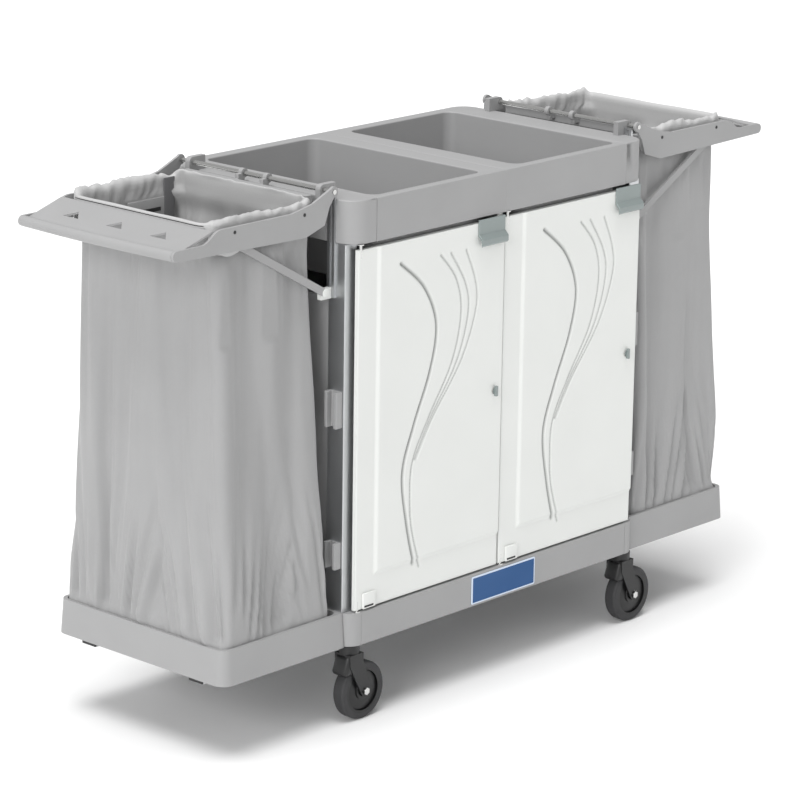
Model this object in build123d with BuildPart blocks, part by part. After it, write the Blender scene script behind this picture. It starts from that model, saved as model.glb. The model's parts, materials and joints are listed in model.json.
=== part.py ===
from build123d import *
from math import hypot, radians, sqrt, tan
import os

# Housekeeping cart: a two-door cupboard with two wells in its deck, a tray at each end, a bag
# under a folding frame over each tray, and four swivel castors.
# Frame: millimetres, +Z up, X along the cart, doors face -Y, origin on the floor under its middle.
# "Outward" means away from the middle along X. End pieces are drawn at +X and mirrored.

# ---------------------------------------------------------------------------- castors
wheel_radius = 62.5
wheel_width = 30.0
tyre_thickness = 13.0
tyre_round = 6.0
hub_web = 12.0
hub_boss_radius = 13.0
castor_trail = 28.0
axle_radius = 5.0
axle_overhang = 3.5
axle_head_radius = 8.0
fork_gap = 3.0
leg_thickness = 4.5
leg_foot_radius = 13.0
crown_clearance = 11.0
crown_thickness = 14.0
swivel_gap = 0.3
head_thickness = 16.7
head_radius = 22.0
crown_radius = 20.0
kingpin_radius = 6.0
stem_length = 55.0
castor_inset_x = 24.0
castor_inset_front = 22.0
castor_inset_back = 27.0
running_clearance = 0.05

# ---------------------------------------------------------------------------- cupboard
module_length = 930.0
module_front = 262.0
module_back = 276.0
base_height = 72.0
cupboard_height = 777.0
deck_height = 90.0
skin = 4.0
corner_radius = 43.0
base_corner_length = 37.0
base_corner_depth = 72.0
base_corner_radius = 30.0
deck_setback = 2.0
deck_lip = 18.0
end_rail_width = 71.0
well_edge = 9.0
well_length = 332.0
well_front_rim = 21.0
well_back_rim = 29.0
well_depth = 180.0
well_corner = 24.0
lip_round = 3.0
post_length = 34.0
post_front_gap = 22.0
post_back_gap = 18.0
post_inner_y = 194.0
post_wall = 3.0
side_panel_thickness = 6.0
side_panel_height = 661.0
back_panel_thickness = 6.0
divider_thickness = 16.0
divider_front_gap = 18.0
shelf_height = 321.0
shelf_thickness = 6.0
shelf_ledge = 8.0
shelf_gap = 0.3
shelf_lip = 12.0

# ---------------------------------------------------------------------------- doors and locks
door_thickness = 14.0
door_bottom_gap = 4.0
door_top_gap = 12.0
door_side_gap = 3.0
door_end_inset = 21.0
panel_raise = 2.0
panel_margin_side = 50.0
panel_margin_bottom = 66.0
pin_radius = 3.0
pin_inset = 8.0
pin_engagement = 20.0
pin_flange_radius = 7.0
pin_flange = 2.0
pin_tip_gap = 1.0
lock_radius = 8.0
spindle_radius = 4.0
lock_height = 396.0
lock_from_stop = 20.0
lock_proud = 3.0
cam_thickness = 3.0
cam_gap = 0.6
cam_width = 12.0
cam_length = 15.0
knob_length = 22.0
knob_width = 6.0
knob_height = 6.0
knob_disc = 1.0
striker_thickness = 2.5
striker_width = 12.0
striker_height = 40.0
handle_width = 82.0
handle_edge_gap = 4.0
handle_reach = 14.0
handle_height = 57.0
handle_wall = 4.0
handle_roll = 22.0
handle_nose = 16.0
handle_rise = 8.0

# ---------------------------------------------------------------------------- trays and rails
tray_length = 349.0
tray_half_depth = 248.0
tray_height = 74.0
tray_draft = 4.2
tray_corner = 27.0
tray_rim = 7.0
tray_recess = 14.0
tray_underlap = 20.0
tray_webs = 3
rail_y = 158.0
rail_width = 40.0
rail_height = 25.0
rail_drop = 11.0
rail_wall = 2.0
cap_thickness = 3.5

# ---------------------------------------------------------------------------- bag frames
rod_radius = 5.0
rod_end = 2.0
rod_outward = 15.0
rod_above_deck = 18.0
clip_inner_y = 180.0
clip_width = 13.0
clip_seat = 20.0
clip_radius = 11.0
arm_inner_y = 216.0
arm_thickness = 6.0
arm_reach = 433.0
arm_drop = 81.0
blade_top_drop = 27.0
bar_drop = 62.0
eye_radius = 11.0
arm_root = 9.0
arm_root_drop = 19.0
arm_shoulder = 15.0
arm_shoulder_drop = 7.0
arm_flat_start = 120.0
arm_flat_end = 310.0
arm_step_end = 370.0
arm_belly_start = 80.0
arm_throat = 26.0
arm_throat_drop = 64.0
gusset_tip = 60.0
gusset_tip_drop = 15.0
gusset_low = 20.0
gusset_low_drop = 40.0
bar_radius = 11.0
bar_bow = 8.0
ring_width = 12.0
ring_height = 12.0
ring_gap = 26.0
ring_length = 306.0
ring_half_depth = 200.0
ring_corner = 36.0
beam_height = 16.0
beam_thickness = 18.0
beam_outward = 18.0
beam_end_gap = 2.0
knuckle_y = 35.0
knuckle_width = 10.0
knuckle_radius = 10.0
plate_thickness = 4.0
finger_hole_pitch = 125.0
finger_hole_width = 44.0
finger_hole_side = 32.4
strut_width = 16.0
strut_thickness = 7.0
strut_gap = 0.7
strut_arm_gap = 1.5
strut_pin_radius = 3.0
strut_pin_outward = 248.0
strut_pin_drop = 74.0
strut_foot_outward = 14.0
strut_foot_drop = 206.0
guide_thickness = 5.0
guide_width = 20.0
guide_below = 15.0
guide_above = 11.0
guide_slot = 6.0
slot_end_gap = 1.5
shoe_above = 6.0
shoe_below = 16.0
shoe_past_pin = 4.0
shoe_width = 11.8
tongue_height = 12.0
tongue_gap = 0.4
shoe_gap = 0.3
bag_wall = 3.0
bag_clearance = 0.3
bag_inner_gap = 23.0
bag_outer_inset = 13.0
bag_side_inset = 6.0
bag_corner = 34.0
bag_foot_inset = 25.0
bag_foot_gap = 1.5
bag_foot_corner = 24.0

# ---------------------------------------------------------------------------- small trim
label_width = 206.0
label_height = 62.0
label_thickness = 2.0
label_corner = 4.0
label_x = 15.0
hook_reach = 18.0
upper_hook_height = 76.0
lower_hook_height = 56.0
upper_hook_z = 396.0
lower_hook_z = 96.0
hook_width = 34.0
hook_wall = 8.0
hook_inset = 4.0
hook_back = 4.0

# ---------------------------------------------------------------------------- derived places
base_bottom = 2 * wheel_radius + crown_clearance + crown_thickness + swivel_gap + head_thickness
base_top = base_bottom + base_height
deck_bottom = base_top + cupboard_height
deck_top = deck_bottom + deck_height
module_half = module_length / 2
deck_front = module_front - deck_setback
deck_centre_y = (module_back - deck_front) / 2
deck_depth = module_back + deck_front
deck_half_length = module_half - end_rail_width
well_x = deck_half_length - well_edge - well_length / 2
well_width_y = deck_depth - well_front_rim - well_back_rim
well_y = deck_centre_y + (well_front_rim - well_back_rim) / 2
post_front = module_front - post_front_gap
post_back = module_back - post_back_gap
post_inner_x = module_half - post_length
divider_front = module_front - divider_front_gap
door_back = module_front - door_thickness
door_middle = module_front - door_thickness / 2
door_bottom = base_top + door_bottom_gap
door_top = deck_bottom - door_top_gap
door_length = module_half - door_end_inset - door_side_gap
rail_bottom = base_bottom - rail_drop
rail_top = rail_bottom + rail_height
tray_top = base_bottom + tray_height
tray_floor = tray_top - tray_recess
tray_end = module_half + tray_length
tray_slope = tan(radians(tray_draft))
recess_start = module_half + tray_rim
recess_end = tray_end - tray_height * tray_slope - tray_rim
recess_half = tray_half_depth - tray_height * tray_slope - tray_rim
rail_end = tray_end - 2 * skin - rail_height * tray_slope - cap_thickness
rod_x = module_half + rod_outward
rod_z = deck_top + rod_above_deck
ring_x0 = rod_x + ring_gap
ring_x1 = ring_x0 + ring_length
bag_length = ring_length + ring_gap - bag_inner_gap - bag_outer_inset
bag_half_depth = ring_half_depth - bag_side_inset
ring_top = rod_z - ring_gap
bar_x = rod_x + arm_reach
bar_z = rod_z - bar_drop
ring_bottom = ring_top - ring_height
strut_pin_x = rod_x + strut_pin_outward
strut_pin_z = rod_z - strut_pin_drop
strut_foot_x = rod_x + strut_foot_outward
strut_foot_z = rod_z - strut_foot_drop
strut_length = hypot(strut_pin_outward - strut_foot_outward, strut_foot_drop - strut_pin_drop)
# Folded up a quarter turn, the strut's pin stands strut_pin_drop outward of the rod.
folded_rise = sqrt(strut_length**2 - (strut_pin_drop - strut_foot_outward)**2)
slide_travel = rod_z + strut_pin_outward - folded_rise - strut_foot_z
strut_y0 = arm_inner_y - strut_arm_gap - strut_thickness
shoe_y1 = strut_y0 - strut_gap
strut_y1 = strut_y0 + strut_thickness

ALONG_Y = (90, 0, 0)


# ---------------------------------------------------------------------------- small helpers
def block(x, y, z, mode=Mode.ADD):
    """A box between the low and high values of x, y and z, added to the open part."""
    with Locations(((x[0] + x[1]) / 2, (y[0] + y[1]) / 2, (z[0] + z[1]) / 2)):
        Box(x[1] - x[0], y[1] - y[0], z[1] - z[0], mode=mode)


def rod_along_y(x, z, y, radius, mode=Mode.ADD):
    """A round bar along Y between the two values of y."""
    with Locations((x, (y[0] + y[1]) / 2, z)):
        Cylinder(radius, y[1] - y[0], rotation=ALONG_Y, mode=mode)


def rod_upright(x, y, z, radius, mode=Mode.ADD):
    """A round bar along Z between the two values of z."""
    with Locations((x, y, (z[0] + z[1]) / 2)):
        Cylinder(radius, z[1] - z[0], mode=mode)


def front_and_back(low, high):
    """The same span of distances from the middle, once at the front and once at the back."""
    return ((-high, -low), (low, high))


def write(node, part):
    """Label one finished piece and write its STEP file."""
    part.label = node
    export_step(part, f"parts/{node}.step")


def write_pair(node, part):
    """Write the piece at the +X end and its mirror image at the -X end."""
    write(f"{node}_right", part)
    write(f"{node}_left", mirror(part, about=Plane.YZ))


def at_both_ends(part):
    """The piece at the +X end together with its mirror image, as one group."""
    with BuildPart() as group:
        add(part)
        mirror(about=Plane.YZ)
    return group.part


# ---------------------------------------------------------------------------- base and trays
def make_base_frame():
    """The plinth: cupboard floor, front and back skirts, and cross webs that sit on the rails."""
    skirt_half = module_half - base_corner_length
    corner_back = module_back - base_corner_depth
    corner_front = module_front - base_corner_depth
    with BuildPart() as frame:
        block((-skirt_half, skirt_half), (-module_front, module_back), (base_top - skin, base_top))
        block((-module_half, module_half), (-corner_front, corner_back), (base_top - skin, base_top))
        for y in ((-module_front, skin - module_front), (module_back - skin, module_back)):
            block((-skirt_half, skirt_half), y, (base_bottom, base_top))
        end_web = module_half - skin / 2
        for x in (-end_web, -module_half / 2, 0, module_half / 2, end_web):
            block((x - skin / 2, x + skin / 2), (-corner_front, corner_back), (rail_top, base_top))
    return frame.part


def make_base_corners():
    """Four corner castings that carry the posts above and a castor stem each below."""
    with BuildPart() as corners:
        for side in (-1, 1):
            x_low, x_high = sorted((side * (module_half - base_corner_length), side * module_half))
            for y in ((-module_front, base_corner_depth - module_front),
                      (module_back - base_corner_depth, module_back)):
                block((x_low, x_high), y, (base_bottom, base_top))
        edges = corners.edges().filter_by(Axis.Z)
        outer = edges.group_by(Axis.X)[0] + edges.group_by(Axis.X)[-1]
        fillet(outer.group_by(Axis.Y)[0] + outer.group_by(Axis.Y)[-1], base_corner_radius)
        for x, y in castor_places():
            rod_upright(x, y, (base_bottom, base_bottom + stem_length), kingpin_radius, Mode.SUBTRACT)
    return corners.part


def make_tray():
    """The tray at one end: drafted sides, a rim, a shallow recess and webs that sit on the rails."""
    length = tray_length + tray_underlap
    middle_x = module_half - tray_underlap + length / 2
    underside = tray_floor - skin
    with BuildPart() as tray:
        with BuildSketch(Plane.XY.offset(base_bottom)):
            with Locations((middle_x, 0)):
                RectangleRounded(length, 2 * tray_half_depth, tray_corner)
        extrude(amount=tray_height, taper=tray_draft)
        with BuildSketch(Plane.XY.offset(base_bottom)):
            with Locations((middle_x, 0)):
                RectangleRounded(length - 4 * skin, 2 * tray_half_depth - 4 * skin, tray_corner - skin)
        extrude(amount=underside - base_bottom, taper=tray_draft, mode=Mode.SUBTRACT)
        with BuildSketch(Plane.XY.offset(tray_floor)):
            with Locations(((recess_start + recess_end) / 2, 0)):
                RectangleRounded(recess_end - recess_start, 2 * recess_half, tray_corner - tray_rim)
        extrude(amount=tray_recess, mode=Mode.SUBTRACT)
        split(bisect_by=Plane.YZ.offset(module_half), keep=Keep.TOP)
        for index in range(tray_webs):
            x = module_half + tray_length * (index + 0.5) / tray_webs
            block((x, x + skin), (-recess_half, recess_half), (rail_top, underside))
    return tray.part


def make_tray_rails():
    """Two rectangular tubes under the base and trays, the backbone of the cart."""
    with BuildPart() as rails:
        for y in (-rail_y, rail_y):
            span = (y - rail_width / 2, y + rail_width / 2)
            block((-rail_end, rail_end), span, (rail_bottom, rail_top))
            bore_y = (span[0] + rail_wall, span[1] - rail_wall)
            bore_z = (rail_bottom + rail_wall, rail_top - rail_wall)
            block((-rail_end, rail_end), bore_y, bore_z, Mode.SUBTRACT)
    return rails.part


def make_rail_caps():
    """Black plugs that close the four ends of the rails."""
    with BuildPart() as caps:
        for side in (-1, 1):
            for y in (-rail_y, rail_y):
                x_low, x_high = sorted((side * rail_end, side * (rail_end + cap_thickness)))
                span = (y - rail_width / 2, y + rail_width / 2)
                block((x_low, x_high), span, (rail_bottom, rail_top))
    return caps.part


# ---------------------------------------------------------------------------- cupboard
def make_posts():
    """Four corner posts; each has a spigot that goes up into the hollow end rail of the deck."""
    spigot_x = (post_inner_x, post_inner_x + post_length / 2)
    with BuildPart() as posts:
        for side in (-1, 1):
            for y in ((-post_front, -post_inner_y), (post_inner_y, post_back)):
                x_low, x_high = sorted((side * post_inner_x, side * module_half))
                block((x_low, x_high), y, (base_top, deck_bottom))
                block((x_low + post_wall, x_high - post_wall), (y[0] + post_wall, y[1] - post_wall),
                      (base_top, deck_bottom - skin), Mode.SUBTRACT)
            for y in front_and_back(post_inner_y, post_inner_y + post_length):
                x_low, x_high = sorted((side * spigot_x[0], side * spigot_x[1]))
                block((x_low, x_high), y, (deck_bottom, deck_top - skin))
    return posts.part


def make_side_panel():
    """The end wall between two posts, with a ledge for the shelf; it stops short of the deck."""
    x_out = module_half - side_panel_thickness
    x_in = x_out - side_panel_thickness
    ledge_top = base_top + shelf_height
    with BuildPart() as panel:
        block((x_in, x_out), (-post_inner_y, post_inner_y), (base_top, base_top + side_panel_height))
        block((x_in - shelf_ledge, x_in), (-post_inner_y, post_inner_y),
              (ledge_top - shelf_ledge, ledge_top))
    return panel.part


def make_back_panel():
    """The back wall of one bay, behind the posts and the divider."""
    with BuildPart() as panel:
        block((door_side_gap / 2, module_half - skin), (post_back, post_back + back_panel_thickness),
              (base_top, deck_bottom))
    return panel.part


def make_divider():
    """The middle wall between the two bays, with a shelf ledge on each side."""
    half = divider_thickness / 2
    ledge_top = base_top + shelf_height
    with BuildPart() as divider:
        block((-half, half), (-divider_front, post_back), (base_top, deck_bottom))
        block((-half - shelf_ledge, half + shelf_ledge), (-post_front, post_back),
              (ledge_top - shelf_ledge, ledge_top))
    return divider.part


def make_shelf():
    """A loose shelf in one bay, standing on the ledges."""
    x_in = divider_thickness / 2 + shelf_gap
    x_out = module_half - 2 * side_panel_thickness - shelf_gap
    z = base_top + shelf_height
    with BuildPart() as shelf:
        block((x_in, x_out), (-post_inner_y + shelf_gap, post_inner_y - shelf_gap),
              (z, z + shelf_thickness))
        block((x_in, x_out), (-post_inner_y + shelf_gap, shelf_thickness - post_inner_y),
              (z + shelf_thickness, z + shelf_thickness + shelf_lip))
    return shelf.part


def make_deck():
    """Half of the deck: a hollow moulding with a deep well whose mouth has a rounded lip."""
    bin_bottom = deck_top - well_depth
    with BuildPart() as deck:
        block((0, deck_half_length), (-deck_front, module_back), (deck_bottom, deck_top))
        block((skin, deck_half_length - skin), (skin - deck_front, module_back - skin),
              (deck_bottom, deck_top - skin), Mode.SUBTRACT)
        block((0, deck_half_length), (-deck_front, deck_lip - deck_front),
              (deck_bottom, deck_bottom + skin))
        with BuildSketch(Plane.XY.offset(bin_bottom - skin)):
            with Locations((well_x, well_y)):
                RectangleRounded(well_length + 2 * skin, well_width_y + 2 * skin, well_corner + skin)
        extrude(amount=well_depth)
        with BuildSketch(Plane.XY.offset(bin_bottom)):
            with Locations((well_x, well_y)):
                RectangleRounded(well_length, well_width_y, well_corner)
        extrude(amount=well_depth, mode=Mode.SUBTRACT)
        fillet(deck.faces().sort_by(Axis.Z)[-1].edges(), lip_round)
    return deck.part


def make_deck_end():
    """The end rail of the deck, a hollow moulding with two rounded corners."""
    middle_x = module_half - end_rail_width / 2
    with BuildPart() as end:
        with BuildSketch(Plane.XY.offset(deck_bottom)):
            with Locations((middle_x, deck_centre_y)):
                Rectangle(end_rail_width, deck_depth)
        extrude(amount=deck_height)
        fillet(end.edges().filter_by(Axis.Z).group_by(Axis.X)[-1], corner_radius)
        fillet(end.faces().sort_by(Axis.Z)[-1].edges(), lip_round)
        offset(amount=-skin, openings=end.faces().sort_by(Axis.Z)[0])
        block((deck_half_length, module_half - corner_radius), (-deck_front, deck_lip - deck_front),
              (deck_bottom, deck_bottom + skin))
    return end.part


# ---------------------------------------------------------------------------- doors and locks
def door_left_edge(bay):
    """X of the hinge edge of the door in bay 0 (left) or 1 (right)."""
    return -door_side_gap - door_length if bay == 0 else door_side_gap


def lock_place(bay):
    """X of the lock: a fixed distance before the wall that its cam catches behind."""
    stop = -divider_thickness / 2 if bay == 0 else post_inner_x
    return stop - lock_from_stop


def make_door(bay):
    """A door slab with a raised field, pivot holes at its hinge edge and a hole for the lock."""
    left = door_left_edge(bay)
    right = left + door_length
    pin_x = left + pin_inset
    with BuildPart() as door:
        block((left, right), (panel_raise - module_front, -door_back), (door_bottom, door_top))
        block((left + panel_margin_side, right), (-module_front, panel_raise - module_front),
              (door_bottom + panel_margin_bottom, door_top))
        hole = pin_radius + running_clearance
        rod_upright(pin_x, -door_middle, (door_bottom, door_bottom + pin_engagement), hole, Mode.SUBTRACT)
        rod_upright(pin_x, -door_middle, (door_top - pin_engagement, door_top), hole, Mode.SUBTRACT)
        rod_along_y(lock_place(bay), base_top + lock_height, (-module_front, -door_back),
                    lock_radius, Mode.SUBTRACT)
    return door.part


def make_door_pins():
    """Four hinge pins, fixed in the plinth below and under the deck above."""
    with BuildPart() as pins:
        for bay in (0, 1):
            x = door_left_edge(bay) + pin_inset
            low_tip = door_bottom + pin_engagement - pin_tip_gap
            high_tip = door_top - pin_engagement + pin_tip_gap
            rod_upright(x, -door_middle, (base_top, low_tip), pin_radius)
            rod_upright(x, -door_middle, (base_top, base_top + pin_flange), pin_flange_radius)
            rod_upright(x, -door_middle, (high_tip, deck_bottom), pin_radius)
            rod_upright(x, -door_middle, (deck_bottom - pin_flange, deck_bottom), pin_flange_radius)
    return pins.part


def make_handle(bay):
    """A pull clipped over the top free corner of a door, its lower edge rolled outwards."""
    right = door_left_edge(bay) + door_length - handle_edge_gap
    top = door_top + handle_rise
    bottom = top - handle_height
    face = module_front
    nose = face + handle_reach
    with BuildPart() as handle:
        with BuildSketch(Plane.YZ.offset(right - handle_width)):
            with BuildLine():
                Polyline((-face, top), (-face - handle_wall, top),
                         (-face - handle_wall, bottom + handle_roll + handle_wall),
                         (-nose, bottom + handle_nose), (-nose, bottom + handle_wall),
                         (handle_wall - nose, bottom),
                         (handle_wall - nose, bottom + handle_nose - handle_wall),
                         (-face, bottom + handle_roll), close=True)
            make_face()
        extrude(amount=handle_width)
    return handle.part


def make_lock_barrel(bay):
    """The fixed barrel of a door lock."""
    x = lock_place(bay)
    z = base_top + lock_height
    with BuildPart() as barrel:
        rod_along_y(x, z, (-module_front - lock_proud, -door_back), lock_radius)
        bore = spindle_radius + running_clearance
        rod_along_y(x, z, (-module_front - lock_proud, -door_back), bore, Mode.SUBTRACT)
    return barrel.part


def make_lock_knob(bay):
    """The turning part of a lock: thumb knob, spindle and the cam behind the door."""
    x = lock_place(bay)
    z = base_top + lock_height
    knob_y = -module_front - lock_proud - swivel_gap
    cam_front = striker_thickness + cam_gap - divider_front
    with BuildPart() as knob:
        rod_along_y(x, z, (knob_y, cam_front + cam_thickness), spindle_radius)
        rod_along_y(x, z, (knob_y - knob_disc, knob_y), lock_radius - knob_disc)
        block((x - knob_width / 2, x + knob_width / 2), (knob_y - knob_height, knob_y),
              (z - knob_length / 2, z + knob_length / 2))
        block((x - cam_width / 2, x + cam_width / 2), (cam_front, cam_front + cam_thickness),
              (z - cam_length, z + cam_width / 2))
    return knob.part


def make_strikers():
    """Plates that the lock cams turn in behind, one on the divider and one on a post."""
    front = -divider_front
    z = base_top + lock_height
    with BuildPart() as strikers:
        for stop in (-divider_thickness / 2, post_inner_x):
            block((stop - striker_width, stop), (front, front + striker_thickness),
                  (z - striker_height / 2, z + striker_height / 2))
        block((post_inner_x - striker_thickness, post_inner_x), (front, striker_height - post_front),
              (z - striker_height / 2, z + striker_height / 2))
        block((post_inner_x - striker_width, post_inner_x - striker_thickness),
              (front + striker_thickness, striker_height - post_front),
              (z - striker_height / 2, z + striker_height / 2), Mode.SUBTRACT)
    return strikers.part


# ---------------------------------------------------------------------------- castors
def castor_places():
    """Swivel centres of the four castors."""
    x = module_half - castor_inset_x
    ys = (castor_inset_front - module_front, module_back - castor_inset_back)
    return [(side * x, y) for side in (-1, 1) for y in ys]


def make_castor_heads():
    """Fixed heads of the castors: a stem in the base corner, a bearing disc and a kingpin."""
    pin_bottom = base_bottom - head_thickness - swivel_gap - crown_thickness
    with BuildPart() as heads:
        for x, y in castor_places():
            rod_upright(x, y, (base_bottom - head_thickness, base_bottom), head_radius)
            rod_upright(x, y, (base_bottom, base_bottom + stem_length), kingpin_radius)
            rod_upright(x, y, (pin_bottom, base_bottom - head_thickness), kingpin_radius)
    return heads.part


def make_castor_fork(x, y):
    """A swivelling fork with its axle; the wheel trails towards +X."""
    crown_top = base_bottom - head_thickness - swivel_gap
    crown_bottom = crown_top - crown_thickness
    leg_in = wheel_width / 2 + fork_gap
    leg_out = leg_in + leg_thickness
    with BuildPart() as fork:
        block((x - crown_radius, x + crown_radius), (y - leg_out, y + leg_out), (crown_bottom, crown_top))
        for face in (y - leg_in, y + leg_out):
            with BuildSketch(Plane.XZ.offset(-face)):
                with Locations((x, crown_top - crown_radius)):
                    Circle(crown_radius)
                with Locations((x + castor_trail, wheel_radius)):
                    Circle(leg_foot_radius)
                make_hull()
            extrude(amount=leg_thickness)
        rod_upright(x, y, (crown_bottom, crown_top), kingpin_radius + running_clearance, Mode.SUBTRACT)
        rod_along_y(x + castor_trail, wheel_radius, (y - leg_out, y + leg_out), axle_radius, Mode.SUBTRACT)
    with BuildPart() as axle:
        reach = leg_out + axle_overhang
        rod_along_y(x + castor_trail, wheel_radius, (y - reach, y + reach), axle_radius)
        rod_along_y(x + castor_trail, wheel_radius, (y - reach, y - leg_out), axle_head_radius)
        rod_along_y(x + castor_trail, wheel_radius, (y + leg_out, y + reach), axle_head_radius)
    return Compound(children=[fork.part, axle.part])


def make_tyre(x, y):
    """A grey rubber tyre with rounded shoulders."""
    half = wheel_width / 2
    with BuildPart() as tyre:
        rod_along_y(x + castor_trail, wheel_radius, (y - half, y + half), wheel_radius)
        fillet(tyre.edges(), tyre_round)
        rod_along_y(x + castor_trail, wheel_radius, (y - half, y + half),
                    wheel_radius - tyre_thickness, Mode.SUBTRACT)
    return tyre.part


def make_hub(x, y):
    """The wheel centre: a rim under the tyre, a thin web and a boss around the axle."""
    half = wheel_width / 2
    rim = wheel_radius - tyre_thickness
    cx, cz = x + castor_trail, wheel_radius
    with BuildPart() as hub:
        rod_along_y(cx, cz, (y - half, y + half), rim)
        for low, high in ((-half, -hub_web / 2), (hub_web / 2, half)):
            rod_along_y(cx, cz, (y + low, y + high), rim - tyre_round, Mode.SUBTRACT)
            rod_along_y(cx, cz, (y + low, y + high), hub_boss_radius)
        rod_along_y(cx, cz, (y - half, y + half), axle_radius + running_clearance, Mode.SUBTRACT)
    return hub.part


# ---------------------------------------------------------------------------- bag frames
def make_hinge_rod():
    """The rod along the deck's end that the bag frame turns on."""
    end = arm_inner_y + arm_thickness + rod_end
    with BuildPart() as rod:
        rod_along_y(rod_x, rod_z, (-end, end), rod_radius)
    return rod.part


def make_rod_clips():
    """Two blocks on the deck's end rail that hold the rod."""
    with BuildPart() as clips:
        for y in front_and_back(clip_inner_y, clip_inner_y + clip_width):
            block((module_half - clip_seat, rod_x), y, (deck_top, rod_z + clip_radius))
            rod_along_y(rod_x, rod_z, y, clip_radius)
            block((rod_x, rod_x + clip_radius), y, (deck_top, rod_z))
            rod_along_y(rod_x, rod_z, y, rod_radius, Mode.SUBTRACT)
    return clips.part


def make_frame_arms():
    """The two side arms: an eye on the rod, a deep flat blade, a step down and a round nose."""
    top = rod_z - blade_top_drop
    root = (rod_x + arm_root, rod_z - arm_root_drop)
    step_top = (rod_x + arm_flat_end, top)
    step_foot = (rod_x + arm_step_end, bar_z + bar_radius)
    with BuildPart() as arms:
        for y in front_and_back(arm_inner_y, arm_inner_y + arm_thickness):
            with BuildSketch(Plane.XZ.offset(-y[1])):
                with BuildLine():
                    Polyline(root, (rod_x + arm_shoulder, rod_z - arm_shoulder_drop),
                             (rod_x + arm_flat_start, top), step_top)
                    Spline(step_top, step_foot, tangents=((1, 0), (1, 0)))
                    Line(step_foot, (bar_x, bar_z + bar_radius))
                    ThreePointArc((bar_x, bar_z + bar_radius), (bar_x + bar_radius, bar_z),
                                  (bar_x, bar_z - bar_radius))
                    Polyline((bar_x, bar_z - bar_radius), (rod_x + arm_belly_start, rod_z - arm_drop),
                             (rod_x + arm_throat, rod_z - arm_throat_drop), root)
                make_face()
                with Locations((rod_x, rod_z)):
                    Circle(eye_radius)
                with BuildLine():
                    Polyline((rod_x, rod_z + eye_radius), (rod_x + gusset_tip, rod_z - gusset_tip_drop),
                             (rod_x + gusset_low, rod_z - gusset_low_drop),
                             (rod_x, rod_z - eye_radius), close=True)
                make_face()
                with Locations((rod_x, rod_z)):
                    Circle(rod_radius + running_clearance, mode=Mode.SUBTRACT)
            extrude(amount=arm_thickness)
        for y in front_and_back(strut_y0, arm_inner_y):
            rod_along_y(strut_pin_x, strut_pin_z, y, strut_pin_radius)
    return arms.part


def make_push_bar():
    """The round bar between the noses of the arms, slightly bowed outwards."""
    with BuildPart() as bar:
        past = arm_inner_y + bar_radius
        with BuildLine() as path:
            ThreePointArc((bar_x, -past, bar_z), (bar_x + bar_bow, 0, bar_z), (bar_x, past, bar_z))
        with BuildSketch(Plane(path.line @ 0, z_dir=path.line % 0)):
            Circle(bar_radius)
        sweep()
        block((ring_x1, bar_x + 3 * bar_radius), (-arm_inner_y, arm_inner_y), (ring_bottom - past, rod_z),
              Mode.INTERSECT)
    return bar.part


def make_cross_plate():
    """The sloping plate from the ring down to the push bar, with three finger holes."""
    start = Vector(ring_x1, 0, ring_top - plate_thickness)
    end = Vector(bar_x + bar_bow / 4, 0, bar_z)
    run = end - start
    slope = Plane(origin=(start + end) / 2, x_dir=(0, 1, 0), z_dir=run.cross(Vector(0, 1, 0)))
    with BuildPart() as plate:
        with BuildSketch(slope):
            Rectangle(2 * arm_inner_y, run.length)
            with Locations(*[(pitch * finger_hole_pitch, 0) for pitch in (-1, 0, 1)]):
                Triangle(a=finger_hole_width, b=finger_hole_side, c=finger_hole_side,
                         mode=Mode.SUBTRACT)
        extrude(amount=plate_thickness / 2, both=True)
        far = 50.0
        block((ring_x0, ring_x1), (-far - arm_inner_y, far + arm_inner_y), (ring_bottom - far, rod_z),
              Mode.SUBTRACT)
        add(make_push_bar(), mode=Mode.SUBTRACT)
    return plate.part


def make_bag_ring():
    """The rectangular ring with rounded corners that the bag's hem goes over."""
    middle = (ring_x0 + ring_x1) / 2
    with BuildPart() as ring:
        with BuildSketch(Plane.XY.offset(ring_bottom)):
            with Locations((middle, 0)):
                RectangleRounded(ring_length, 2 * ring_half_depth, ring_corner)
                RectangleRounded(ring_length - 2 * ring_width, 2 * (ring_half_depth - ring_width),
                                 ring_corner - ring_width, mode=Mode.SUBTRACT)
        extrude(amount=ring_height)
        fillet(ring.edges().group_by(Axis.Z)[0] + ring.edges().group_by(Axis.Z)[-1], ring_width / 4)
    return ring.part


def make_inner_beam():
    """The beam on the inner side of the ring, with two knuckles on the rod."""
    x0 = rod_x + beam_outward
    x1 = x0 + beam_thickness
    half = clip_inner_y - beam_end_gap
    with BuildPart() as beam:
        block((x0, x1), (-half, half), (ring_top, ring_top + beam_height))
        for side in (-1, 1):
            y = (side * knuckle_y - knuckle_width / 2, side * knuckle_y + knuckle_width / 2)
            rod_along_y(rod_x, rod_z, y, knuckle_radius)
            block((rod_x, x0), y, (ring_top + beam_height / 2, rod_z))
            rod_along_y(rod_x, rod_z, y, rod_radius + running_clearance, Mode.SUBTRACT)
    return beam.part


def make_struts():
    """Two flat struts from the arms down to the guides on the posts."""
    with BuildPart() as struts:
        for y in front_and_back(strut_y0, strut_y1):
            with BuildSketch(Plane.XZ.offset(-y[1])):
                with Locations((strut_pin_x, strut_pin_z), (strut_foot_x, strut_foot_z)):
                    Circle(strut_width / 2)
                make_hull()
                with Locations((strut_pin_x, strut_pin_z)):
                    Circle(strut_pin_radius + running_clearance, mode=Mode.SUBTRACT)
            extrude(amount=strut_thickness)
    return struts.part


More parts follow.
